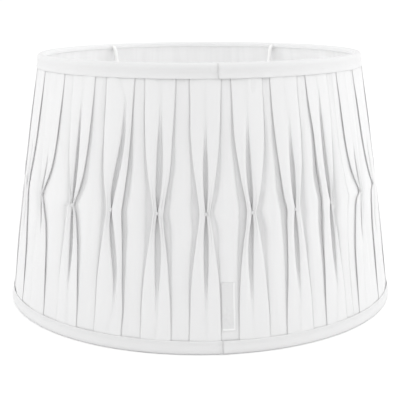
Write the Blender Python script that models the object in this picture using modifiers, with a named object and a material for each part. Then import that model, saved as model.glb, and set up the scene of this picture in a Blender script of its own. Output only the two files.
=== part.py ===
"""A tapered drum lamp shade: a wire frame with a recessed four-arm fitter, a lining,
a box-pleated cover whose pleats are pinched together at mid height, and bias trims.

Metres, +Z up. The origin is on the axis at the foot of the shade, and the front is -Y.
Angles run round the axis from the front towards +X.
"""

from math import cos, pi, radians, sin, tau

import bmesh
import bpy
from mathutils import Matrix, Vector

# Overall sizes, over the trims
BOTTOM_RADIUS = 0.200
TOP_RADIUS = 0.163
HEIGHT = 0.249

# Frame
RING_WIRE = 0.0030  # diameter of the wire of both rings
STRUT_WIRE = 0.0025
STRUT_COUNT = 10
FRAME_TURN = 3.3  # degrees from the front to the first strut
ARM_WIRE = 0.0040
ARM_SETBACK = 0.0013  # an arm leaves the top ring this far below its middle
ARM_STRUTS = (1, 4, 6, 9)  # struts whose bearing each arm shares

# Fitter
FITTER_DROP = 0.045  # from the top of the shade to the fitter's upper face
FITTER_HOLE = 0.042  # diameter that a lamp holder passes through
FITTER_FLANGE = 0.0065  # flat width round the hole
FITTER_SHEET = 0.0015
FITTER_SKIRT = 0.0065  # height of the turned-down rim

# Cloth
PLEAT_COUNT = 27
PANEL_COUNT = 3
FIRST_SEAM = 4  # pleats from the front to the first seam between panels
FIRST_PLEAT = 1.2  # degrees from the front to the middle of the first pleat
COVER_CLOTH = 0.0007
COVER_STACK = 0.0016  # thickness of the folded cover where a ring holds it
LINING_CLOTH = 0.0005
TRIM_CLOTH = 0.0005
TRIM_FACE = 0.0125  # height of a trim on the outside
TRIM_TURN_IN = 0.0070  # height of a trim on the inside
PINCH_HEIGHT = 0.1225
TOP_FLAT = 0.0098  # between two pleats, at the top trim
BOTTOM_FLAT = 0.0165
PINCHED_WIDTH = 0.0090
PANEL_RECESS = 0.0009  # the flat between two pleats lies this far behind them
PINCH_RISE = 0.0013  # a pinched pleat stands this far out of the cone
CREASE_DEPTH = 0.0023  # and the creases beside it lie this far behind it
STITCH_LENGTH = 0.0036
STITCH_WIDTH = 0.0014

# Label
LABEL_SIZE = (0.0112, 0.0420)
LABEL_CLOTH = 0.0005
LABEL_FOOT = 0.0203  # its lower edge, above the floor

GAP = 0.0003  # kept between pieces that touch
SLIT_GAP = 0.00035  # kept round an arm where it passes through cloth
TURN_STEPS = 80
PLEAT_ROWS = 6

PITCH = tau / PLEAT_COUNT
TAPER = (BOTTOM_RADIUS - TOP_RADIUS) / HEIGHT
RING_INSET = TRIM_CLOTH + GAP + COVER_STACK + GAP + RING_WIRE / 2
BOTTOM_RING_Z = TRIM_CLOTH + GAP + RING_WIRE / 2
TOP_RING_Z = HEIGHT - BOTTOM_RING_Z
COVER_FACE = RING_INSET - TRIM_CLOTH - GAP  # from the frame's cone to the cover's face


def frame_radius(z):
    """Radius of the cone that both ring wires and all the struts lie on."""
    return BOTTOM_RADIUS - RING_INSET - TAPER * z


def polar(radius, bearing, z):
    return Vector((radius * sin(bearing), -radius * cos(bearing), z))


def clear_scene():
    for obj in list(bpy.data.objects):
        bpy.data.objects.remove(obj)


def new_collection(name):
    made = bpy.data.collections.new(name)
    bpy.context.scene.collection.children.link(made)
    return made


def new_material(name, colour, roughness, metallic=0.0):
    made = bpy.data.materials.new(name)
    made.use_nodes = True
    shader = made.node_tree.nodes["Principled BSDF"]
    shader.inputs["Base Color"].default_value = (*colour, 1.0)
    shader.inputs["Roughness"].default_value = roughness
    shader.inputs["Metallic"].default_value = metallic
    return made


def keep(obj, name, material, smooth=True):
    """Names an object, gives it its material and puts it in the shade's collection."""
    obj.name = name
    obj.data.materials.append(material)
    for holder in list(obj.users_collection):
        holder.objects.unlink(obj)
    SHADE.objects.link(obj)
    if smooth and obj.type == "MESH":
        obj.data.shade_smooth()
        obj.data.set_sharp_from_angle(angle=radians(40))
    return obj


def turned(name, section, material, steps=TURN_STEPS):
    """A ring: a closed section of (radius, z) points turned about the axis by a Screw modifier."""
    mesh = bpy.data.meshes.new(name)
    points = [(radius, 0.0, z) for radius, z in section]
    count = len(points)
    mesh.from_pydata(points, [(i, (i + 1) % count) for i in range(count)], [])
    obj = keep(bpy.data.objects.new(name, mesh), name, material, smooth=False)
    screw = obj.modifiers.new("Turn", "SCREW")
    screw.steps = screw.render_steps = steps
    screw.use_merge_vertices = True
    screw.merge_threshold = 0.00001
    screw.use_smooth_shade = True
    return obj


def ring(name, z, material):
    """A wire ring on the frame's cone."""
    bpy.ops.mesh.primitive_torus_add(
        major_segments=TURN_STEPS,
        minor_segments=6,
        major_radius=frame_radius(z),
        minor_radius=RING_WIRE / 2,
        location=(0, 0, z),
    )
    return keep(bpy.context.object, name, material)


def strut_bearing(index):
    return radians(FRAME_TURN) + tau * index / STRUT_COUNT


def strut(name, index, material):
    """A straight wire from one ring to the other, butted and welded at both."""
    lean = Vector((-TAPER, 0, 1)).normalized()
    reach = RING_WIRE / 2 + GAP
    foot = Vector((frame_radius(BOTTOM_RING_Z), 0, BOTTOM_RING_Z)) + lean * reach
    head = Vector((frame_radius(TOP_RING_Z), 0, TOP_RING_Z)) - lean * reach
    bpy.ops.mesh.primitive_cylinder_add(
        vertices=10, radius=STRUT_WIRE / 2, depth=(head - foot).length
    )
    obj = keep(bpy.context.object, name, material)
    stand = (head - foot).to_track_quat("Z", "X").to_matrix().to_4x4()
    turn = Matrix.Rotation(strut_bearing(index) - pi / 2, 4, "Z")
    obj.matrix_world = turn @ Matrix.Translation((head + foot) / 2) @ stand
    return obj


def arm_route():
    """(radius, z) points of an arm: out of the ring, steeply down, then level to the fitter."""
    ring_face = frame_radius(TOP_RING_Z) - RING_WIRE / 2 - GAP
    fitter_face = FITTER_HOLE / 2 + FITTER_FLANGE + GAP
    root = TOP_RING_Z - ARM_SETBACK
    level = HEIGHT - FITTER_DROP - FITTER_SKIRT / 2
    span, drop = ring_face - fitter_face, root - level
    shape = ((0, 0), (0.020, 0.01), (0.034, 0.06), (0.044, 0.15), (0.050, 0.28), (0.060, 0.42),
             (0.080, 0.57), (0.120, 0.71), (0.190, 0.83), (0.310, 0.93), (0.500, 0.985), (0.75, 1.0), (1.0, 1.0))
    return [(ring_face - span * across, root - drop * down) for across, down in shape]


def wire_along(name, route, diameter, bearing):
    """A round wire through (radius, z) points in the upright plane at a bearing."""
    curve = bpy.data.curves.new(name, "CURVE")
    curve.dimensions = "3D"
    curve.bevel_depth = diameter / 2
    curve.bevel_resolution = 2
    curve.use_fill_caps = True
    spline = curve.splines.new("POLY")
    spline.points.add(len(route) - 1)
    for point, (radius, z) in zip(spline.points, route):
        point.co = (*polar(radius, bearing, z), 1.0)
    return bpy.data.objects.new(name, curve)


def fitter_ring(material):
    """A pressed ring: a flat flange round the lamp holder's hole, and a turned-down skirt."""
    hole = FITTER_HOLE / 2
    rim = hole + FITTER_FLANGE
    top = HEIGHT - FITTER_DROP
    section = (
        (rim, top), (rim, top - FITTER_SKIRT), (rim - FITTER_SHEET, top - FITTER_SKIRT),
        (rim - FITTER_SHEET, top - FITTER_SHEET), (hole, top - FITTER_SHEET), (hole, top),
    )
    return turned("fitter_ring", section, material, steps=36)


def trim(name, z_edge, upward, material):
    """Bias cloth folded over a ring. upward is 1 for the bottom trim and -1 for the top one."""
    def at(offset, rise):
        z = z_edge + upward * rise
        return frame_radius(z) + offset, z

    outer = RING_INSET
    inner = RING_WIRE / 2 + GAP + LINING_CLOTH + GAP
    section = [
        at(outer, TRIM_FACE), at(outer, 0), at(-inner - TRIM_CLOTH, 0),
        at(-inner - TRIM_CLOTH, TRIM_TURN_IN), at(-inner, TRIM_TURN_IN),
        at(-inner, TRIM_CLOTH), at(outer - TRIM_CLOTH, TRIM_CLOTH), at(outer - TRIM_CLOTH, TRIM_FACE),
    ]
    return turned(name, section if upward > 0 else section[::-1], material)


def lining(material):
    """A plain sleeve inside the struts, held by the trims' turned-in edges."""
    low, high = TRIM_CLOTH + GAP, HEIGHT - TRIM_CLOTH - GAP
    outer = -RING_WIRE / 2 - GAP
    inner = outer - LINING_CLOTH
    section = (
        (frame_radius(high) + outer, high), (frame_radius(low) + outer, low),
        (frame_radius(low) + inner, low), (frame_radius(high) + inner, high),
    )
    return turned("lining", section, material)


def cut_slits(cloth):
    """Opens a round slit in the cloth for each arm of the fitter."""
    for index in ARM_STRUTS:
        name = f"slit_{cloth.name}_{index}"
        route = [(frame_radius(TOP_RING_Z), arm_route()[0][1]), *arm_route()[:4]]
        cutter = wire_along(name, route, ARM_WIRE + 2 * SLIT_GAP, strut_bearing(index))
        CUTTERS.objects.link(cutter)
        cutter = as_mesh(cutter, CUTTERS)
        cutter.hide_render = True
        cutter.display_type = "WIRE"
        cut = cloth.modifiers.new(name, "BOOLEAN")
        cut.operation = "DIFFERENCE"
        cut.object = cutter


def as_mesh(curve, holder):
    """The mesh object that stands in for a curve, with its caps welded on."""
    graph = bpy.context.evaluated_depsgraph_get()
    mesh = bpy.data.meshes.new_from_object(curve.evaluated_get(graph))
    shape = bmesh.new()
    shape.from_mesh(mesh)
    bmesh.ops.remove_doubles(shape, verts=shape.verts, dist=0.000001)
    bmesh.ops.recalc_face_normals(shape, faces=shape.faces)
    shape.to_mesh(mesh)
    shape.free()
    made = bpy.data.objects.new(curve.name, mesh)
    made.matrix_world = curve.matrix_world
    name = curve.name
    bpy.data.objects.remove(curve)
    made.name = name
    holder.objects.link(made)
    return made


def pinch_share(z):
    """0 where a trim holds the pleats flat, rising to 1 where they are stitched together."""
    if z > PINCH_HEIGHT:
        share = (HEIGHT - TRIM_FACE - z) / (HEIGHT - TRIM_FACE - PINCH_HEIGHT)
    else:
        share = (z - TRIM_FACE) / (PINCH_HEIGHT - TRIM_FACE)
    return 1 - cos(pi / 2 * min(max(share, 0.0), 1.0) ** 1.4)


def pleat_width(z):
    along = min(max((z - TRIM_FACE) / (HEIGHT - 2 * TRIM_FACE), 0.0), 1.0)
    unpinched = PITCH * frame_radius(z) - (BOTTOM_FLAT + (TOP_FLAT - BOTTOM_FLAT) * along)
    return unpinched + (PINCHED_WIDTH - unpinched) * pinch_share(z)


def cover_point(pleat, station, z):
    """A point of the cover's face. Stations -3 to 3 cross one pleat: 0 is its middle, 1 its
    folded edge, 2 the crease beside it, and 3 the middle of the flat up to the next pleat."""
    pinched = pinch_share(z)
    edge = pleat_width(z) / 2 / frame_radius(z)
    crease = edge + (0.0013 + 0.0035 * pinched) / frame_radius(z)
    side = 1 if station >= 0 else -1
    swing = (0.0, edge, crease, PITCH / 2)[abs(station)] * side
    rise = PINCH_RISE * pinched
    behind = PANEL_RECESS * (1 - pinched)
    offset = COVER_FACE + (rise, rise, -behind - (CREASE_DEPTH - rise) * pinched, -behind)[abs(station)]
    bearing = radians(FIRST_PLEAT) + PITCH * pleat + swing
    return polar(frame_radius(z) + offset, bearing, z)


def cover_rows():
    """Heights of the cover's rows of points, closer together round the pinch."""
    low, high = TRIM_CLOTH + GAP, HEIGHT - TRIM_CLOTH - GAP
    half = PLEAT_ROWS // 2
    lower = [low + (PINCH_HEIGHT - low) * sin(pi / 2 * i / half) for i in range(half)]
    upper = [high + (PINCH_HEIGHT - high) * sin(pi / 2 * i / half) for i in range(half)]
    return [*lower, PINCH_HEIGHT, *reversed(upper)]


def cover_panel(index, material):
    """One of the lengths of cloth that make up the cover, seamed under a pleat's flat."""
    pleats = PLEAT_COUNT // PANEL_COUNT
    columns = 6 * pleats
    rows = cover_rows()
    bpy.ops.mesh.primitive_grid_add(x_subdivisions=columns, y_subdivisions=len(rows) - 1, size=2)
    obj = keep(bpy.context.object, f"cover_panel_{index + 1}", material)
    first = FIRST_SEAM + index * pleats
    end_gap = GAP / 2 / frame_radius(PINCH_HEIGHT)
    for vertex in obj.data.vertices:
        column = round((vertex.co.x + 1) / 2 * columns)
        row = round((vertex.co.y + 1) / 2 * (len(rows) - 1))
        pleat, station = divmod(column, 6)
        point = cover_point(first + pleat, station - 3, rows[row])
        inset = {0: end_gap, columns: -end_gap}.get(column, 0.0)
        vertex.co = Matrix.Rotation(inset, 3, "Z") @ point
    cloth = obj.modifiers.new("Cloth", "SOLIDIFY")
    cloth.thickness = COVER_CLOTH
    cloth.offset = -1
    return obj


def pinch_stitch(index, material):
    """The bar of thread that holds the two edges of one pleat together."""
    face = cover_point(index, 0, PINCH_HEIGHT)
    bearing = radians(FIRST_PLEAT) + PITCH * index
    bpy.ops.mesh.primitive_cylinder_add(
        vertices=8, radius=STITCH_WIDTH / 2, depth=STITCH_LENGTH, rotation=(0, pi / 2, 0)
    )
    bpy.ops.object.transform_apply(rotation=True)
    obj = keep(bpy.context.object, f"pinch_stitch_{index + 1:02d}", material)
    outward = polar(1, bearing, 0)
    obj.matrix_world = Matrix.Translation(face + outward * (STITCH_WIDTH / 2 + GAP)) @ Matrix.Rotation(
        bearing, 4, "Z"
    )
    return obj


def label(material):
    """A blank tab on the flat beside the first pleat."""
    width, height = LABEL_SIZE
    bearing = radians(FIRST_PLEAT) + PITCH / 2
    bpy.ops.mesh.primitive_grid_add(x_subdivisions=2, y_subdivisions=4, size=1)
    obj = keep(bpy.context.object, "label", material)
    for vertex in obj.data.vertices:
        z = LABEL_FOOT + (vertex.co.y + 0.5) * height
        radius = frame_radius(z) + COVER_FACE - PANEL_RECESS * (1 - pinch_share(z)) + GAP
        vertex.co = polar(radius, bearing + vertex.co.x * width / radius, z)
    cloth = obj.modifiers.new("Cloth", "SOLIDIFY")
    cloth.thickness = LABEL_CLOTH
    cloth.offset = 1
    return obj


def build():
    steel = new_material("white_coated_steel", (0.86, 0.86, 0.85), 0.35)
    cover_cloth = new_material("white_cover_cloth", (0.84, 0.84, 0.84), 0.85)
    lining_cloth = new_material("white_lining_cloth", (0.82, 0.82, 0.82), 0.90)
    thread = new_material("white_thread", (0.88, 0.88, 0.88), 0.60)
    tab = new_material("white_label", (0.74, 0.74, 0.74), 0.55)

    ring("top_ring", TOP_RING_Z, steel)
    ring("bottom_ring", BOTTOM_RING_Z, steel)
    for index in range(STRUT_COUNT):
        strut(f"strut_{index + 1:02d}", index, steel)
    for number, index in enumerate(ARM_STRUTS, 1):
        arm = wire_along(f"fitter_arm_{number}", arm_route(), ARM_WIRE, strut_bearing(index))
        keep(arm, arm.name, steel)
    fitter_ring(steel)
    cut_slits(lining(lining_cloth))
    for index in range(PANEL_COUNT):
        cover_panel(index, cover_cloth)
    for index in range(PLEAT_COUNT):
        pinch_stitch(index, thread)
    cut_slits(trim("top_trim", HEIGHT, -1, cover_cloth))
    trim("bottom_trim", 0, 1, cover_cloth)
    label(tab)


clear_scene()
SHADE = new_collection("pinch_pleat_lamp_shade")
CUTTERS = new_collection("cutters")
build()
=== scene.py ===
from math import atan2, cos, degrees, exp, pi, radians, sin, tau

import bmesh
import bpy
import numpy as np
from mathutils import Matrix, Vector, noise


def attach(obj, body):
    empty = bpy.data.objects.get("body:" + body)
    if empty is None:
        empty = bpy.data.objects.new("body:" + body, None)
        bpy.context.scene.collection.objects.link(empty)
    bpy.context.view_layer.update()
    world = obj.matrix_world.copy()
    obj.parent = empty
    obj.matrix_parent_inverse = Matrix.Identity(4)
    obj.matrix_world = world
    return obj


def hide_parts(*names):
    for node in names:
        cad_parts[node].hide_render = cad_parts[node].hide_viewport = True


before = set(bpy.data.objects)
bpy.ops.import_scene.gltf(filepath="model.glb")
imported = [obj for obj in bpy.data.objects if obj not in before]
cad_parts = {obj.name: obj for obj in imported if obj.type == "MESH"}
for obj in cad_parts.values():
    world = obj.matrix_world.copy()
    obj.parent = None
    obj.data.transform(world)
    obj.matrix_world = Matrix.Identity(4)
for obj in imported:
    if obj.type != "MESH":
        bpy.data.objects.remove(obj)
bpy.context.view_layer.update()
print("frame loaded")

shade = {
    "bottomRadius": 0.200,
    "topRadius": 0.163,
    "height": 0.249,
    "inset": 0.0042,  # from the outside of the trims in to the middle of the wire
    "seed": 11,
}
shade["taper"] = (shade["bottomRadius"] - shade["topRadius"]) / shade["height"]
rng = np.random.default_rng(shade["seed"])


def wireRadius(z):
    # from the axis to the cone that runs through the middle of both ring wires
    return shade["bottomRadius"] - shade["inset"] - shade["taper"] * z


def smooth(low, high, x):
    t = np.clip((x - low) / (high - low), 0, 1)
    return t * t * (3 - 2 * t)


def mix(a, b, t):
    return a + (b - a) * t


class Wire:
    # a shader socket that is used in sums, which add Math nodes

    def __init__(self, tree, socket=None):
        self.tree, self.socket = tree, socket

    def node(self, kind, settings=None, out=0, **inputs):
        # inputs are named as on the node, or numbered as i0, i1 and so on
        made = self.tree.nodes.new(kind)
        for name, value in (settings or {}).items():
            setattr(made, name, value)
        for name, value in inputs.items():
            key = int(name[1:]) if name[1:].isdigit() else name.replace("_", " ")
            if isinstance(value, Wire):
                value.feed(made.inputs[key])
            else:
                made.inputs[key].default_value = value
        return Wire(self.tree, made.outputs[out])

    def feed(self, socket):
        self.tree.links.new(self.socket, socket)

    def maths(self, operation, *values):
        inputs = {f"i{n}": value for n, value in enumerate(values)}
        return self.node("ShaderNodeMath", {"operation": operation}, **inputs)

    def __add__(self, other):
        return self.maths("ADD", self, other)

    __radd__ = __add__

    def __mul__(self, other):
        return self.maths("MULTIPLY", self, other)

    __rmul__ = __mul__

    def __sub__(self, other):
        return self.maths("SUBTRACT", self, other)

    def __rsub__(self, other):
        return self.maths("SUBTRACT", other, self)

    def __pow__(self, other):
        return self.maths("POWER", self, other)

    def sine(self):
        return self.maths("SINE", self)

    def most(self, other):
        return self.maths("MAXIMUM", self, other)

    def clamped(self):
        return self.maths("MINIMUM", self, 1.0).most(0.0)

    def parts(self):
        # the three numbers of a vector
        split = self.node("ShaderNodeSeparateXYZ", i0=self)
        return [Wire(self.tree, part) for part in split.socket.node.outputs]

    def noise(self, scale, detail, **more):
        return self.node("ShaderNodeTexNoise", Vector=self, Scale=scale, Detail=detail, **more)

    def colourMix(self, low, high):
        return self.node("ShaderNodeMix", {"data_type": "RGBA"}, out=2, i0=self, i6=low, i7=high)


def newMaterial(name, colour, roughness, **sockets):
    made = bpy.data.materials.new(name)
    made.use_nodes = True
    made.diffuse_color = (*colour, 1)
    shader = made.node_tree.nodes["Principled BSDF"]
    shader.inputs["Base Color"].default_value = (*colour, 1)
    shader.inputs["Roughness"].default_value = roughness
    for socket, value in sockets.items():
        shader.inputs[socket.replace("_", " ")].default_value = value
    return made, shader, Wire(made.node_tree)


def darker(colour, share):
    return (*[part * share for part in colour], 1)


def paintedEdgeLight(tint, across, along, paleBand):
    # painted highlight: the label's right and lower edges, where the light catches them, painted paler
    edge = ((across - paleBand["across"]) * paleBand["steep"]).most((paleBand["along"] - along) * paleBand["steep"])
    return edge.clamped().colourMix(tint, (*paleBand["colour"], 1))


def paintedInnerLight(tint, place, paleBand):
    # painted light: the binding where it turns in past the ring is painted the paler colour of the lining,
    # for the light that the inside of the shade gets
    x, y, z = place.parts()
    radius = (x * x + y * y) ** 0.5
    within = (wireRadius(0) - paleBand["depth"]) - z * shade["taper"] - radius
    return (within * paleBand["steep"]).clamped().colourMix(tint, (*paleBand["colour"], 1))


def paintedFoldShadows(tint, across, along, settings):
    # painted shade: the shadows of the cover's folds, seen by light through the lining, painted as faint
    # darker streaks
    folds = settings["folds"]
    stretched = tint.node("ShaderNodeCombineXYZ", i0=across * folds["across"], i1=along * folds["along"])
    shadow = (stretched.noise(1.0, 3.0, Roughness=0.55) - folds["from"]) * folds["contrast"]
    return shadow.clamped().colourMix(darker(settings["colour"], folds["dark"]), tint)


def clothMaterial(name, settings):
    made, shader, start = newMaterial(
        name, settings["colour"], settings["roughness"], Sheen_Weight=settings["sheen"], Sheen_Roughness=0.5
    )
    across, along, _ = start.node("ShaderNodeUVMap", {"uv_map": "cloth"}).parts()
    place = start.node("ShaderNodeTexCoord", out="Object")
    slub = place.noise(settings["slubScale"], 3.0, Roughness=0.6)
    cloud = place.noise(weave["cloudScale"], 2.0)

    thread = tau / settings["thread"]
    crossing = (across * thread).sine() * (along * thread).sine()
    height = crossing * weave["crossing"] + slub * weave["slub"]
    depth = settings["thread"] * weave["depth"]
    bump = start.node("ShaderNodeBump", Height=height, Strength=settings["bump"], Distance=depth)
    bump.feed(shader.inputs["Normal"])

    amount = cloud * 0.6 + slub * 0.4
    tint = amount.colourMix(darker(settings["colour"], weave["dark"]), (*settings["colour"], 1))
    if "paintedEdgeLight" in settings:
        tint = paintedEdgeLight(tint, across, along, settings["paintedEdgeLight"])
    if "paintedInnerLight" in settings:
        tint = paintedInnerLight(tint, place, settings["paintedInnerLight"])
    if "folds" in settings:
        tint = paintedFoldShadows(tint, across, along, settings)
    tint.feed(shader.inputs["Base Color"])
    rough = slub * weave["uneven"] + (settings["roughness"] - weave["uneven"] / 2)
    rough.feed(shader.inputs["Roughness"])
    return made


def steelMaterial(name, settings):
    made, shader, start = newMaterial(
        name, settings["colour"], settings["roughness"], Coat_Weight=0.15, Coat_Roughness=0.25
    )
    place = start.node("ShaderNodeTexCoord", out="Object")
    peel = place.noise(settings["peelScale"], 2.0)
    cloud = place.noise(settings["cloudScale"], 2.0)
    bump = start.node("ShaderNodeBump", Height=peel, Strength=0.25, Distance=settings["peelDepth"])
    bump.feed(shader.inputs["Normal"])
    tint = cloud.colourMix(darker(settings["colour"], settings["dark"]), (*settings["colour"], 1))
    tint.feed(shader.inputs["Base Color"])
    rough = cloud * settings["uneven"] + settings["smoothest"]
    rough.feed(shader.inputs["Roughness"])
    return made


# what all the cloths share: the parts of their bump, their darkest tint and their uneven roughness
weave = {"cloudScale": 22.0, "crossing": 0.5, "slub": 0.8, "depth": 0.25, "dark": 0.955, "uneven": 0.1}
coverFinish = {
    "colour": (0.735, 0.735, 0.737),
    "roughness": 0.85,
    "sheen": 0.10,
    "thread": 0.0007,  # metres from thread to thread
    "slubScale": 900.0,
    "bump": 0.5,
}
liningFinish = {
    "colour": (0.78, 0.78, 0.782),
    "roughness": 0.8,
    "sheen": 0.05,
    "thread": 0.0005,
    "slubScale": 700.0,
    "bump": 0.3,
    # painted shade: faint darker streaks where the cover's folds shadow the lining
    "folds": {"across": 80.0, "along": 7.0, "from": 0.42, "contrast": 5.0, "dark": 0.94},
}
bindingFinish = {
    **coverFinish,
    "colour": (0.705, 0.705, 0.707),
    # painted light: the turned-in part of the binding is painted paler
    "paintedInnerLight": {"depth": 0.001, "steep": 1500, "colour": liningFinish["colour"]},
}
threadFinish = {
    "colour": (0.80, 0.80, 0.802),
    "roughness": 0.6,
    "sheen": 0.1,
    "thread": 0.0003,
    "slubScale": 2500.0,
    "bump": 0.4,
}
labelFinish = {
    "colour": (0.66, 0.66, 0.662),
    "roughness": 0.55,
    "sheen": 0.0,
    "thread": 0.0004,
    "slubScale": 1200.0,
    "bump": 0.3,
    # painted highlight: the right and lower edges of the label are painted paler
    "paintedEdgeLight": {"across": 0.0041, "along": -0.0190, "steep": 2500, "colour": (0.755, 0.755, 0.757)},
}
steelFinish = {
    "colour": (0.86, 0.86, 0.855),
    "roughness": 0.3,
    "peelScale": 900.0,
    "peelDepth": 0.0002,
    "cloudScale": 40.0,
    "dark": 0.94,
    "smoothest": 0.23,
    "uneven": 0.15,
}
coverCloth = clothMaterial("white_cover_cloth_look", coverFinish)
liningCloth = clothMaterial("white_lining_cloth_look", liningFinish)
threadLook = clothMaterial("white_thread_look", threadFinish)
labelLook = clothMaterial("blank_label_look", labelFinish)
bindingCloth = clothMaterial("white_binding_look", bindingFinish)
steelLook = steelMaterial("white_coated_steel_look", steelFinish)
print("materials done")


def meshObject(name, shape):
    mesh = bpy.data.meshes.new(name)
    shape.to_mesh(mesh)
    shape.free()
    obj = bpy.data.objects.new(name, mesh)
    bpy.context.scene.collection.objects.link(obj)
    return obj


def finishPiece(obj, material, node):
    obj.data.materials.clear()
    obj.data.materials.append(material)
    for face in obj.data.polygons:
        face.use_smooth = True
    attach(obj, "root")
    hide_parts(node)


# the pleated cover: levels are millimetres out from the middle of the wire
pleats = {
    "count": 27,
    "panels": 3,
    "first": 1.2,  # degrees from the front to the first pleat
    "firstSeam": 4,
    "pinchHeight": 0.1225,
    "trimFace": 0.0125,
    "edge": 0.0030,  # from the ends of the shade to the raw edges, inside the trims
    "rows": 80,
    "thickness": 0.00025,
    "topWidth": 13.6,  # half the width of a pleat, in millimetres
    "bottomWidth": 14.3,
    "face": 3.3,
    "crest": 1.35,
    "floor": -0.5,
    "lowest": -0.4,
    "valley": 0.64,  # how deep the groove beside a pleat is, as a share of its width
    "bulge": 0.65,  # how far the flat between two pleats swells out at the pinch
    "pull": (0.024, 1.25),  # how far up and down a stitch draws its pleat aside, and the curve of it
    "girthRadius": 185,  # millimetres, for patterns that run round the shade
}
# how unlike one another the pleats are where the tables below don't name them
spread = {
    "pitch": 0.5,
    "stray": 1.4,
    "closes": (0.7, 0.92),
    "opening": (1.2, 2.3),
    "groove": (0.6, 1.0),
    "pinch": 0.0009,
    "width": 0.35,
    "gap": 0.8,
    "strayRun": (0.0, 0.35),
    "edgeRun": ((1.6, 5.6), (0.26, 0.38), (1.1, 1.5), (2.5, 6.5), (0.42, 0.5), (1.1, 1.5)),
    # the wavers down a pleat: the knots in its height, and how much they move
    "edge": (9, 0.30),
    "crown": (7, 0.16),
    "bulge": (8, 0.30),
    "groovesWide": (13, 0.16),
    "groovesDeep": (13, 0.10),
}
# the creases in the cloth: millimetres out, then the size of their noise around and up the shade
creases = {
    "streaks": (0.22, 5.5, 60),
    "fineStreaks": (0.12, 2.4, 34),
    "drag": 0.42,  # the folds that run out from each pinch
    "dragReach": 17,
    "hem": 18,  # over this height the trims hold the cloth smooth
}

# The tables below are for the pleats that show most. They count from the front one, which is 0, to its
# right, and below 0 to its left.

# degrees that a pleat lies off an even pitch: at the top, at the pinch and at the foot
offPitch = {
    -6: (-3.0, -3.5, -2.5), -5: (-2.2, -4.4, -1.7), -4: (-0.8, -3.9, -0.7), -3: (0.2, -0.8, -0.1),
    -2: (0.8, -0.1, 0.25), -1: (0.5, 0.4, 0.45), 0: (0.5, 0.45, 0.1), 1: (-0.4, -0.1, -0.5),
    2: (-1.7, -0.2, -0.8), 3: (-2.2, -0.3, -1.5), 4: (-0.2, 3.0, -0.7), 5: (-1.7, 3.0, -0.4),
    6: (3.0, 4.0, 2.0),
}
# how far the tuck of a pleat strays to its right on the way up and on the way down, in millimetres
slitStray = {
    -4: (1.0, 0.5), -3: (0.2, 0.4), -2: (6.6, 6.0), -1: (0.8, 1.0), 0: (0.0, 0.2),
    1: (-1.0, -1.8), 2: (2.0, 1.2), 3: (1.2, 2.4), 4: (1.0, 1.0),
}
# the share of the way from pinch to trim at which the tuck has closed again, above and below
slitEnd = {
    -5: (0.5, 0.5), -4: (0.45, 0.4), -3: (0.88, 0.80), -2: (0.92, 0.86), -1: (0.88, 0.86), 0: (0.76, 0.84),
    1: (0.80, 0.82), 2: (0.74, 0.80), 3: (0.95, 0.80), 4: (0.5, 0.5), 5: (0.5, 0.5),
}
# half the width that the tuck opens to, in millimetres
slitWidth = {
    -5: 1.0, -4: 1.1, -3: 1.75, -2: 2.3, -1: 2.4, 0: 1.75, 1: 2.0, 2: 2.1, 3: 2.2, 4: 1.2, 5: 1.0,
}
# the depth of the grooves beside a pleat, as a share of the full depth
grooveDepth = {
    -6: 0.1, -5: 0.15, -4: 0.35, -3: 0.7, -2: 1.2, -1: 1.0, 0: 1.0, 1: 1.0, 2: 1.0, 3: 1.3,
    4: 0.25, 5: 0.1, 6: 0.1,
}
# the shares of the way at which a tuck starts to stray and has strayed all the way
strayRun = {-2: (0.03, 0.62)}
# the edges, as pleat and side, that keep their way while the tuck is drawn across to its stitch
steadyEdges = {(3, 0)}
# how open the fold lines stand, as a share
foldGap = {-6: 0.2, -5: 0.2, -4: 0.4, -3: 0.5, 3: 0.7, 4: 0.3, 5: 0.2, 6: 0.2}
# millimetres that a pinch sits off the even height
pinchShift = {-3: -1.6, -2: -0.4, -1: -0.6, 0: -0.6, 1: -0.9, 2: -1.6, 3: -0.9, 4: -1.6, 5: -2.4}
# how an edge runs to its pinch from above, then from below: millimetres left at the pinch, reach, curve
edgeRun = {
    (-4, 1): (1.6, 0.22, 1.20, 2.4, 0.40, 1.10),
    (-3, 1): (1.6, 0.235, 1.05, 2.0, 0.44, 0.95),
    (-2, 0): (5.0, 0.33, 1.30, 5.0, 0.45, 1.30),
    (-2, 1): (10.5, 0.33, 1.30, 10.0, 0.45, 1.30),
    (-1, 0): (3.9, 0.37, 1.5, 3.9, 0.48, 1.4),
    (-1, 1): (5.6, 0.37, 1.5, 5.0, 0.48, 1.5),
    (0, 0): (5.8, 0.40, 1.8, 5.6, 0.48, 1.5),
    (0, 1): (2.8, 0.37, 1.2, 3.2, 0.46, 1.3),
    (1, 0): (4.6, 0.36, 1.3, 5.2, 0.46, 1.4),
    (2, 0): (8.2, 0.50, 1.05, 7.7, 0.75, 3.0),
    (3, 0): (5.3, 0.55, 1.6, 5.5, 0.50, 1.4),
    (4, 0): (1.6, 0.24, 1.10, 9.0, 0.50, 1.4),
    (5, 0): (1.6, 0.24, 1.05, 8.0, 0.50, 1.4),
}
lattice = rng.uniform(-1, 1, (64, 64))


def softNoise(u, v):
    # smooth noise from -1 to 1 over a plane
    ui, vi = np.floor(u).astype(int), np.floor(v).astype(int)
    uf, vf = u - ui, v - vi
    uf, vf = uf * uf * (3 - 2 * uf), vf * vf * (3 - 2 * vf)
    rows = [
        mix(lattice[ui % 64, (vi + j) % 64], lattice[(ui + 1) % 64, (vi + j) % 64], uf)
        for j in (0, 1)
    ]
    return mix(*rows, vf)


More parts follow.
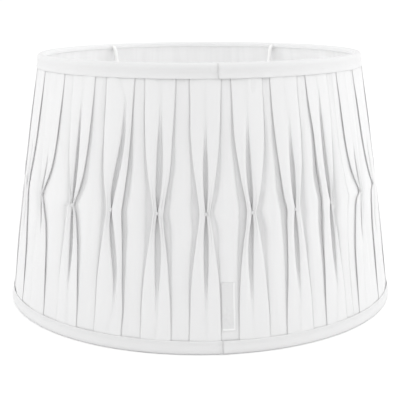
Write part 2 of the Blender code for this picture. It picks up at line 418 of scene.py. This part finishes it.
def waver(lines, knots, amount):
    # smooth random curves, one for each line, read as curve(line, 0 to 1)
    values = rng.normal(0, amount, (lines, knots))

    def curve(line, t):
        place = np.clip(t, 0, 1) * (knots - 1)
        low = np.minimum(place.astype(int), knots - 2)
        part = place - low
        part = part * part * (3 - 2 * part)
        return mix(values[line, low], values[line, low + 1], part)

    return curve


count = pleats["count"]
near = [(k + count // 2) % count - count // 2 for k in range(count)]  # each pleat as the tables count it


def perPleat(table, draw):
    # every pleat draws, so a change to a table leaves the other pleats as they are
    return np.array([table.get(n, draw()) for n in near])


def drawnRun():
    return [rng.uniform(low, high) for low, high in spread["edgeRun"]]


turns = perPleat(offPitch, lambda: rng.normal(0, spread["pitch"], 3))
stray = perPleat(slitStray, lambda: rng.normal(0, spread["stray"], 2))
closes = perPleat(slitEnd, lambda: rng.uniform(*spread["closes"], 2))
opening = perPleat(slitWidth, lambda: rng.uniform(*spread["opening"]))
grooves = perPleat(grooveDepth, lambda: rng.uniform(*spread["groove"]))
pinchLift = perPleat(pinchShift, lambda: rng.normal(0, spread["pinch"]) * 1000) / 1000
gaps = perPleat(foldGap, lambda: spread["gap"])
strayFrom = perPleat(strayRun, lambda: spread["strayRun"])
widthOf = rng.normal(0, spread["width"], (count, 2, 2))
edgeWaver = waver(count * 2, *spread["edge"])
crownWaver = waver(count * 2, *spread["crown"])
bulgeWaver = waver(count, *spread["bulge"])
valleyWaver = waver(count * 2, *spread["groovesWide"])
depthWaver = waver(count * 2, *spread["groovesDeep"])
runs = np.array([[edgeRun.get((n, side), drawnRun()) for side in (0, 1)] for n in near])


def straightTurn(k, z):
    return mix(turns[k, 2], turns[k, 0], z / shade["height"])


def pleatPull(k, z):
    # degrees that the middle of a pleat is drawn aside to its stitch
    reach, bend = pleats["pull"]
    drawn = np.exp(-((np.abs(z - pleats["pinchHeight"]) / reach) ** bend))
    return (turns[k, 1] - straightTurn(k, z)) * drawn


def pleatBearing(k, z):
    # the middle of a pleat, in degrees, at each height; past the last pleat the count goes on round
    wrap, k = divmod(k, count)
    return pleats["first"] + 360 / count * (k + count * wrap) + straightTurn(k, z) + pleatPull(k, z)


def pinchShare(k, z):
    # the share of the way from the pinch to a trim, and which heights are above the pinch
    pinch = pleats["pinchHeight"] + pinchLift[k]
    top = shade["height"] - pleats["trimFace"]
    upper = z > pinch
    share = np.where(upper, (z - pinch) / (top - pinch), (pinch - z) / (pinch - pleats["trimFace"]))
    return np.clip(share, 0, 1), upper


def foldEdge(k, side, z):
    # millimetres from the middle of a pleat to its folded edge
    share, upper = pinchShare(k, z)
    atTop, atFoot = pleats["topWidth"] + widthOf[k, side, 0], pleats["bottomWidth"] + widthOf[k, side, 1]
    wide = np.where(upper, atTop, atFoot)
    run = runs[k, side]
    tight = mix(run[3], run[0], smooth(-0.004, 0.004, z - (pleats["pinchHeight"] + pinchLift[k])))
    reach, bend = np.where(upper, run[1], run[4]), np.where(upper, run[2], run[5])
    edge = wide - (wide - tight) * np.exp(-((share / reach) ** bend))
    if (near[k], side) in steadyEdges:
        sign = 1 if side else -1
        edge = edge - sign * np.radians(pleatPull(k, z)) * wireRadius(z) * 1000
    height = np.clip(z / shade["height"], 0, 1)
    return edge + edgeWaver(2 * k + side, height) * (1 - smooth(0.75, 1, share)) * smooth(0, 0.1, share)


def tuckShape(k, side, z):
    # the tuck down a pleat: where it ends, how open it is, half its width and how far it lies aside
    share, upper = pinchShare(k, z)
    ends = np.where(upper, closes[k, 0], closes[k, 1])
    slit = 1 - smooth(ends - 0.42, ends + 0.06, share)
    opened = 1 - np.exp(-((share / 0.10) ** 1.4))
    half = 0.12 + opening[k] * opened * (0.15 + 0.85 * (1 - smooth(0.35 * ends, ends, share)))
    aside = np.where(upper, stray[k, 0], stray[k, 1]) * smooth(*strayFrom[k], share)
    aside = aside * (1 - smooth(ends - 0.1, 1.0, share))
    return ends, slit, half, aside if side else -aside


def halfSection(k, side, z):
    # the folded cloth from a pleat's tuck to the flat beside it: points (across, out) in millimetres
    k = k % count
    share, _ = pinchShare(k, z)
    edge = foldEdge(k, side, z)
    ends, slit, half, aside = tuckShape(k, side, z)
    line, height = 2 * k + side, np.clip(z / shade["height"], 0, 1)
    middle = 1 - smooth(0.5, 1.0, share)
    face = pleats["face"] + pleats["crest"] * middle - 0.55 * np.exp(-((share / 0.09) ** 2))
    floor = mix(pleats["floor"], face - 2.4, smooth(0.15, 1.0, share / ends))
    flat = mix(pleats["face"] - 0.50, pleats["face"] - 0.05, 1 - smooth(0.3, 1.0, share))
    valleyWidth = 0.35 + 5.4 * np.exp(-((share / 0.45) ** 1.5)) * (1 + valleyWaver(line, height))
    depth = pleats["valley"] * grooves[k] * (valleyWidth - 0.45) * (1 - np.abs(depthWaver(line, height)))
    valley = np.maximum(flat - 0.10 - depth, pleats["lowest"])
    under = mix(face - 0.60, valley + 0.3 * gaps[k], middle)  # the two layers that lie behind the face
    above = under + mix(0.24, 0.45, middle) * gaps[k]
    crown = 0.20 + 0.35 * np.exp(-((share / 0.28) ** 2)) + crownWaver(line, height)

    pocket = mix(0.35, 0.8, slit)
    closedAcross = [0.0, 0.35, 0.65, 0.9, 1.2, 1.8, 2.6]
    openAcross = [0.0, half + pocket * 0.4, half + pocket, half + pocket * 0.7]
    openAcross += [half, half + 0.55, half + 1.9]
    openOut = [floor, floor, floor + 0.8, face - 1.9, face - 1.15, face - 0.45, face]
    points = [
        (mix(a, b, slit) + aside, mix(face, c, slit ** 1.3))
        for a, b, c in zip(closedAcross, openAcross, openOut)
    ]
    shoulder = points[-1][0]
    inner = mix(1.3, half + pocket + 0.45, slit) + aside
    # the face and its edge, the two layers folded behind it, and the groove beside the pleat
    return points + [
        (mix(shoulder, edge - 1.0, 0.5), face + crown * middle),
        (edge - 1.0, face - 0.03),
        (edge - 0.3, face - 0.15),
        (edge, face - mix(0.22, 0.42, middle)),
        (edge - mix(0.2, 0.35, middle), mix(above + 0.03, (face + above) / 2, middle)),
        (edge - 1.0, above),
        (inner + 0.45, above),
        (inner, (above + under) / 2),
        (inner + 0.45, under),
        (edge - 0.6, mix(under, valley, 0.8)),
        (edge + 0.35 * valleyWidth, valley),
        (edge + 0.78 * valleyWidth, mix(valley, flat, 0.16)),
        (edge + valleyWidth, mix(valley, flat, 0.62)),
        (edge + valleyWidth + mix(0.6, 1.1, middle), mix(valley, flat, 0.95)),
    ], flat


def catmull(points, samples):
    # a smooth curve through points of shape (rows, n, 2), with so many steps in each span
    before = 2 * points[:, :1] - points[:, 1:2]
    after = 2 * points[:, -1:] - points[:, -2:-1]
    padded = np.concatenate([before, points, after], axis=1)
    curve = []
    for n, steps in enumerate(samples):
        p0, p1, p2, p3 = (padded[:, n + m] for m in range(4))
        for step in range(steps):
            t = step / steps
            square, cube = 2 * p0 - 5 * p1 + 4 * p2 - p3, 3 * p1 - p0 - 3 * p2 + p3
            curve.append(0.5 * (2 * p1 + (p2 - p0) * t + square * t * t + cube * t ** 3))
    curve.append(points[:, -1])
    return np.stack(curve, axis=1)


spanSteps = [1, 1, 1, 1, 1, 1, 2, 1, 1, 1, 1, 1, 1, 1, 1, 1, 1, 1, 2, 1, 1, 2, 2]  # 23 spans, 24 points


def halfPleat(k, side, z):
    # the curve from the middle of a pleat to half way to the next one
    neighbour = k + 1 if side else k - 1
    reach = np.abs(pleatBearing(neighbour, z) - pleatBearing(k, z)) / 2
    reach = np.radians(reach) * wireRadius(z) * 1000
    points, flat = halfSection(k, side, z)
    start = points[-1][0]
    gap = (k if side else k - 1) % count
    bulge = pleats["bulge"] * (1 - smooth(0.3, 1, np.abs(z - pleats["pinchHeight"]) / 0.11))
    bulge = bulge + bulgeWaver(gap, z / shade["height"]) * 0.6
    for share in (0.35, 0.7, 1.0):
        points.append((mix(start, reach, share), flat + bulge * (1 - (1 - share) ** 2)))
    return catmull(np.stack([np.stack(point, axis=-1) for point in points], axis=1), spanSteps)


# the frame's upright wires, under the cloth: millimetres, and degrees from the front to the first
struts = {"count": 10, "first": 3.3, "radius": 1.25, "clear": 0.4, "drop": 2.6, "beside": (1.2, 4.6)}


def overStruts(bearing, out):
    # the cloth lies over the frame's upright wires and never reaches into them
    pitch = tau / struts["count"]
    turn = (bearing - radians(struts["first"]) + pitch / 2) % pitch - pitch / 2
    away = np.abs(turn) * pleats["girthRadius"]
    limit = struts["radius"] + struts["clear"] - struts["drop"] * smooth(*struts["beside"], away)
    return limit + np.log1p(np.exp((out - limit) * 6)) / 6


def coverSurface(k, z):
    # bearing in radians and millimetres out for one whole pleat at each height
    left, right = halfPleat(k, 0, z), halfPleat(k, 1, z)
    across = np.concatenate([-left[:, ::-1, 0], right[:, 1:, 0]], axis=1)
    out = np.concatenate([left[:, ::-1, 1], right[:, 1:, 1]], axis=1)
    bearing = np.radians(pleatBearing(k, z))[:, None] + across / (wireRadius(z)[:, None] * 1000)
    level = z[:, None] * 1000
    pinch = (pleats["pinchHeight"] + pinchLift[k % count]) * 1000
    loose = smooth(0, creases["hem"], level) * smooth(0, creases["hem"], shade["height"] * 1000 - level)
    around = bearing * pleats["girthRadius"]
    high, wide, tall = creases["streaks"]
    streaks = high * softNoise(around / wide, level / tall)
    high, wide, tall = creases["fineStreaks"]
    streaks = streaks + high * softNoise(around / wide + 20, level / tall)
    far = np.hypot(across, (level - pinch) * 0.8)
    angle = np.arctan2(across, level - pinch)
    drag = creases["drag"] * softNoise(angle * 3.2 + 7 * k, far / 14 + k)
    drag = drag * np.exp(-((far / creases["dragReach"]) ** 2)) * smooth(1.0, 4.0, far)
    return bearing, overStruts(bearing, out + (streaks + drag) * loose)


def coverPanel(index):
    perPanel = count // pleats["panels"]
    first = pleats["firstSeam"] + index * perPanel
    low, high = pleats["edge"], shade["height"] - pleats["edge"]
    pinch = pleats["pinchHeight"]
    share = np.linspace(-1, 1, pleats["rows"] + 1)
    share = np.sign(share) * np.abs(share) ** 1.25  # the rows are closer at the pinch
    z = np.where(share < 0, pinch + share * (pinch - low), pinch + share * (high - pinch))
    columns = []
    for k in range(first, first + perPanel):
        bearing, out = coverSurface(k, z)
        radius = wireRadius(z)[:, None] + out / 1000
        level = z[:, None] * np.ones_like(radius)
        place = np.stack([radius * np.sin(bearing), -radius * np.cos(bearing), level], axis=-1)
        columns.append(place if k == first else place[:, 1:])
    place = np.concatenate(columns, axis=1)
    rows, cols = place.shape[:2]
    run = np.zeros((rows, cols))
    run[:, 1:] = np.cumsum(np.linalg.norm(np.diff(place, axis=1), axis=-1), axis=1)
    meanRun = run.mean(axis=0)

    shape = bmesh.new()
    bmesh.ops.create_grid(shape, x_segments=cols - 1, y_segments=rows - 1, size=1)
    col = np.array([round((vert.co.x + 1) / 2 * (cols - 1)) for vert in shape.verts])
    row = np.array([round((vert.co.y + 1) / 2 * (rows - 1)) for vert in shape.verts])
    shape.verts.index_update()
    uvLayer = shape.loops.layers.uv.new("cloth")
    for face in shape.faces:
        for loop in face.loops:
            n = loop.vert.index
            loop[uvLayer].uv = (meanRun[col[n]], z[row[n]])
    for n, vert in enumerate(shape.verts):
        vert.co = place[row[n], col[n]]
    obj = meshObject(f"pleated_cover_{index + 1}", shape)
    cloth = obj.modifiers.new("Cloth", "SOLIDIFY")
    cloth.thickness = pleats["thickness"]
    cloth.offset = -1
    finishPiece(obj, coverCloth, f"cover_panel_{index + 1}")


for index in range(pleats["panels"]):
    coverPanel(index)


def spun(section, steps):
    # a closed section of (radius, z) points spun about the axis
    shape = bmesh.new()
    verts = [shape.verts.new((0, -r, z)) for r, z in section]
    edges = [shape.edges.new((verts[n], verts[(n + 1) % len(verts)])) for n in range(len(verts))]
    bmesh.ops.spin(
        shape, geom=verts + edges, cent=(0, 0, 0), axis=(0, 0, 1), dvec=(0, 0, 0),
        angle=tau, steps=steps, use_merge=True,
    )
    bmesh.ops.remove_doubles(shape, verts=shape.verts, dist=0.00001)
    bmesh.ops.recalc_face_normals(shape, faces=shape.faces)
    return shape


def addClothMap(shape, circumference):
    uvLayer = shape.loops.layers.uv.new("cloth")
    for face in shape.faces:
        turnsHere = [atan2(loop.vert.co.x, -loop.vert.co.y) for loop in face.loops]
        far = max(turnsHere) - min(turnsHere) > pi
        for loop, turn in zip(face.loops, turnsHere):
            turn = turn + tau if far and turn < 0 else turn
            outward = loop.vert.co.xy.length - wireRadius(loop.vert.co.z)
            loop[uvLayer].uv = (turn * circumference / tau, loop.vert.co.z + outward)


trims = {
    "top": {"edge": shade["height"], "up": -1, "node": "top_trim", "face": 0.0132},
    "bottom": {"edge": 0.0, "up": 1, "node": "bottom_trim", "face": 0.0122},
    "turnIn": 0.0050,
    "outside": 0.0034,  # what lies further out than this is lifted
    "steps": 360,
    "seam": 5.75,  # degrees from the front
    "overlap": 0.0006,  # how far the upper layer stands out beside the seam
    "wave": (0.00022, 14, 60),  # metres out, then the scale of the noise around and up
    "crinkle": (0.00014, 55, 260),
    # the soft swelling of the top trim at the front: degrees wide, then how far out its fold is, how far
    # down that lies and how broad it is, and how far out the lip is
    "swell": {"reach": 19, "fold": 0.0007, "down": 0.004, "across": 0.0026, "lip": 0.0005},
    # the columns at the seam: how far along from it they stand, and how far out
    "fold": {4: (-0.0013, 0.0), 5: (-0.0005, -0.0008), 6: (0.0003, 0.0007), 7: (0.0012, 0.0006)},
    # where the lip of the top trim stands off the pleats: bearing and reach in degrees, millimetres
    "loose": [(20.5, 2.2, 1.0), (12.0, 3.0, 0.5), (-9.0, 6.0, 0.35), (-24.0, 3.0, 0.3), (39.0, 2.0, 0.4)],
}


def trimSection(own, turnIn):
    # bias cloth folded over the ring, with its lip on the pleats: millimetres out from the wire and in
    # from the end of the shade
    face = own["face"] * 1000
    path = [
        (3.50, face - 0.15), (3.74, face + 0.05), (3.95, face - 0.25), (4.02, face - 0.9),
        (3.88, face - 1.9), (3.62, face - 3.2), (3.60, face - 4.6), (3.88, 6.0), (4.18, 4.2),
        (4.08, 2.4), (3.72, 1.2), (3.0, 0.42), (2.0, 0.08), (0.9, 0.0), (-0.3, 0.0), (-1.3, 0.25),
        (-2.2, 0.9), (-2.75, 1.9), (-2.90, 2.8), (-2.80, turnIn - 1.2), (-2.62, turnIn - 0.2),
        (-2.52, turnIn), (-2.50, 3.0), (-2.2, 2.2), (-1.3, 1.0), (0.2, 0.5), (2.2, 0.6), (3.1, 1.4),
        (3.45, 3.2), (3.42, 7.0),
    ]
    heights = [own["edge"] + own["up"] * rise / 1000 for _, rise in path]
    section = [(wireRadius(z) + out / 1000, z) for (out, _), z in zip(path, heights)]
    return section if own["up"] > 0 else section[::-1]


def trimLift(own, column, turn, away, z):
    # how far the outside of a trim stands off its even section
    hem = float(smooth(0.6, 1.0, abs(z - own["edge"]) / own["face"]))
    lift = 0.0
    if column in trims["fold"]:
        lift += trims["fold"][column][1]
    elif away > 0:
        lift += trims["overlap"] * float(1 - smooth(0.002, 0.013, away))
    high, around, rise = trims["wave"]
    wave = noise.noise((cos(turn) * around, sin(turn) * around, z * rise + own["up"]))
    lift += (high + high * hem) * wave
    if own["up"] < 0:
        swell, bearing = trims["swell"], degrees(turn)
        fold = swell["fold"] * exp(-(((own["edge"] - z - swell["down"]) / swell["across"]) ** 2))
        lift += exp(-((bearing / swell["reach"]) ** 2)) * (fold + swell["lip"] * hem)
        lift += sum(
            0.001 * off * hem * hem * max(0.0, 1 - ((bearing - at) / reach) ** 2)
            for at, reach, off in trims["loose"]
        )
    high, around, rise = trims["crinkle"]
    return lift + high * noise.noise((cos(turn) * around, sin(turn) * around, z * rise + own["up"]))


def binding(which):
    own = trims[which]
    shape = spun(trimSection(own, trims["turnIn"] * 1000), trims["steps"])
    seam = radians(trims["seam"])
    for vert in shape.verts:
        turn, radius = atan2(vert.co.x, -vert.co.y), vert.co.xy.length
        column = round(turn / (tau / trims["steps"]))
        if column in trims["fold"]:
            turn = seam + trims["fold"][column][0] / radius
        if radius > wireRadius(vert.co.z) + trims["outside"]:
            radius += trimLift(own, column, turn, (turn - seam) * radius, vert.co.z)
        vert.co.x, vert.co.y = radius * sin(turn), -radius * cos(turn)
    addClothMap(shape, tau * wireRadius(own["edge"]))
    obj = meshObject(which + "_binding", shape)
    finishPiece(obj, bindingCloth, own["node"])
    print(which, "binding")


binding("top")
binding("bottom")

liner = {
    "cloth": 0.00045,
    "inset": 0.0020,
    "end": 0.0022,
    "steps": 240,
    "rows": 24,
    "ripple": 0.0007,
    "held": (0.008, 0.04),  # flat up to the first distance from a ring, and loose from the second
}


def linerSleeve():
    low, high = liner["end"], shade["height"] - liner["end"]
    rows = [mix(high, low, n / liner["rows"]) for n in range(liner["rows"] + 1)]
    outer = [(wireRadius(z) - liner["inset"], z) for z in rows]
    shape = spun(outer + [(radius - liner["cloth"], z) for radius, z in reversed(outer)], liner["steps"])
    for vert in shape.verts:
        turn = atan2(vert.co.x, -vert.co.y)
        z = vert.co.z
        held = float(smooth(*liner["held"], z) * smooth(*liner["held"], shade["height"] - z))
        ripple = noise.noise((cos(turn) * 5, sin(turn) * 5, z * 4)) - 0.6
        radius = vert.co.xy.length + liner["ripple"] * ripple * held
        vert.co.x, vert.co.y = radius * sin(turn), -radius * cos(turn)
    addClothMap(shape, tau * wireRadius(0.1))
    obj = meshObject("inner_lining", shape)
    finishPiece(obj, liningCloth, "lining")
    girth = tau * wireRadius(shade["height"] / 2)  # half way up


linerSleeve()
print("trims and lining done")

stitches = {"bars": 4, "width": 0.0030, "thread": 0.00022, "rise": 0.0007, "lean": 0.12, "out": 0.00425}


def pinchStitch(k):
    # a few turns of thread across a pinch
    z = np.array([pleats["pinchHeight"] + pinchLift[k]])
    bearing = radians(float(pleatBearing(k, z)[0]))
    half = stitches["thread"] * 1.3
    shape = bmesh.new()
    for bar in range(stitches["bars"]):
        height = float(z[0]) + (bar - (stitches["bars"] - 1) / 2) * stitches["rise"]
        made = bmesh.ops.create_uvsphere(shape, u_segments=8, v_segments=6, radius=1)["verts"]
        place = (
            Matrix.Rotation(bearing, 4, "Z")
            @ Matrix.Translation((0, -(wireRadius(height) + stitches["out"]), height))
            @ Matrix.Rotation(stitches["lean"] * (-1) ** bar, 4, "Y")
            @ Matrix.Diagonal((stitches["width"] / 2, half, half, 1))
        )
        bmesh.ops.transform(shape, matrix=place, verts=made)
    addClothMap(shape, tau * 0.18)
    obj = meshObject(f"stitch_{k + 1:02d}", shape)
    finishPiece(obj, threadLook, f"pinch_stitch_{k + 1:02d}")


for k in range(count):
    pinchStitch(k)
print("stitches done")

tab = {
    "width": 0.0117,
    "height": 0.0424,
    "foot": 0.0203,
    "bearing": 7.25,  # degrees from the front
    "cloth": 0.0003,
    "columns": 14,
    "rows": 40,
    "crinkle": 1.3,  # millimetres, as the next two
    "curl": 0.22,  # of the side edge
    "lip": 0.15,  # of the lower edge
}


def blankLabel():
    shape = bmesh.new()
    bmesh.ops.create_grid(shape, x_segments=tab["columns"], y_segments=tab["rows"], size=1)
    uvLayer = shape.loops.layers.uv.new("cloth")
    for face in shape.faces:
        for loop in face.loops:
            loop[uvLayer].uv = (loop.vert.co.x * tab["width"] / 2, loop.vert.co.y * tab["height"] / 2)
    rise = np.linspace(tab["foot"], tab["foot"] + tab["height"], tab["rows"] + 1)
    # it lies over the flat between the front pleat and the next one
    here, there = coverSurface(0, rise), coverSurface(1, rise)
    bearings, outs = (np.concatenate([here[n][:, -9:], there[n][:, :9]], axis=1) for n in (0, 1))
    for vert in shape.verts:
        u, t = vert.co.x, vert.co.y
        row = round((t + 1) * tab["rows"] / 2)
        z = float(rise[row])
        bearing = radians(tab["bearing"]) + u * tab["width"] / 2 / wireRadius(z)
        out = float(np.interp(bearing, bearings[row], outs[row])) + 0.12
        crinkle = tab["crinkle"] * abs(noise.noise((u * 1.4 + t * 4, t * 6 - u, 8.7)))
        crinkle = crinkle * smooth(0.2, -0.3, t) * (1 - smooth(0.75, 0.95, abs(t)))
        out += float(crinkle) + tab["curl"] * smooth(0.6, 0.9, u) + tab["lip"] * smooth(0.86, 0.96, -t)
        radius = wireRadius(z) + float(out) / 1000
        vert.co = (radius * sin(bearing), -radius * cos(bearing), z)
    obj = meshObject("blank_label", shape)
    cloth = obj.modifiers.new("Cloth", "SOLIDIFY")
    cloth.thickness = tab["cloth"]
    cloth.offset = 1
    finishPiece(obj, labelLook, "label")


blankLabel()
print("label done")

for name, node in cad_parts.items():
    if name.startswith(("top_ring", "bottom_ring", "strut", "fitter")):
        node.data.materials.clear()
        node.data.materials.append(steelLook)

stand = {"colour": (0.90, 0.90, 0.90), "roughness": 0.9, "size": 60, "glow": 0.03, "world": 1.105}


def paleFloor():
    shape = bmesh.new()
    bmesh.ops.create_grid(shape, x_segments=1, y_segments=1, size=stand["size"])
    floor = meshObject("floor", shape)
    look, shader, start = newMaterial(
        "pale_floor", stand["colour"], stand["roughness"], Emission_Strength=stand["glow"]
    )
    shader.inputs["Emission Color"].default_value = (1, 1, 1, 1)
    # seen from underneath, the floor is clear
    below = start.node("ShaderNodeNewGeometry", out="Backfacing")
    clear = start.node("ShaderNodeBsdfTransparent")
    oneSided = start.node("ShaderNodeMixShader", i0=below, i1=Wire(start.tree, shader.outputs[0]), i2=clear)
    oneSided.feed(start.tree.nodes["Material Output"].inputs[0])
    floor.data.materials.append(look)


paleFloor()

world = bpy.data.worlds.new("soft_studio")
bpy.context.scene.world = world
world.use_nodes = True
world.node_tree.nodes["Background"].inputs[0].default_value = (1, 1, 1, 1)
world.node_tree.nodes["Background"].inputs[1].default_value = stand["world"]

lights = {
    "right": {"place": (2.2, 0.2, 1.0), "aim": (0, 0, 0.12), "size": 2.0, "power": 13.5},
    "left": {"place": (-2.2, 0.2, 1.0), "aim": (0, 0, 0.12), "size": 2.0, "power": 11},
    "above": {"place": (0.2, -0.9, 2.2), "aim": (0, 0.1, 0.15), "size": 1.8, "power": 4.0},
    "inside": {"place": (0, 0, 0.018), "aim": (0, 0, 1), "size": 0.30, "power": 0.255, "seen": False},
}


def softLight(name, place, aim, size, power, seen=True):
    data = bpy.data.lights.new(name, "AREA")
    data.shape, data.size, data.energy = "DISK", size, power
    obj = bpy.data.objects.new(name, data)
    bpy.context.scene.collection.objects.link(obj)
    towards = (Vector(aim) - Vector(place)).to_track_quat("-Z", "Y").to_matrix().to_4x4()
    obj.matrix_world = Matrix.Translation(place) @ towards
    obj.visible_camera = seen


for name, light in lights.items():
    softLight(name, **light)

camera = {"place": (0, -0.9243, 0.3083), "pitch": 13.17, "roll": -0.29, "lens": 80.36, "sensor": 36}
cameraData = bpy.data.cameras.new("camera")
cameraData.lens = camera["lens"]
cameraData.sensor_width = camera["sensor"]
cameraData.clip_start = 0.01
cameraObject = bpy.data.objects.new("camera", cameraData)
bpy.context.scene.collection.objects.link(cameraObject)
cameraObject.matrix_world = (
    Matrix.Translation(camera["place"])
    @ Matrix.Rotation(radians(90 - camera["pitch"]), 4, "X")
    @ Matrix.Rotation(radians(camera["roll"]), 4, "Z")
)
bpy.context.scene.camera = cameraObject
bpy.context.scene.view_settings.view_transform = "Standard"
print("floor, lights and camera done")
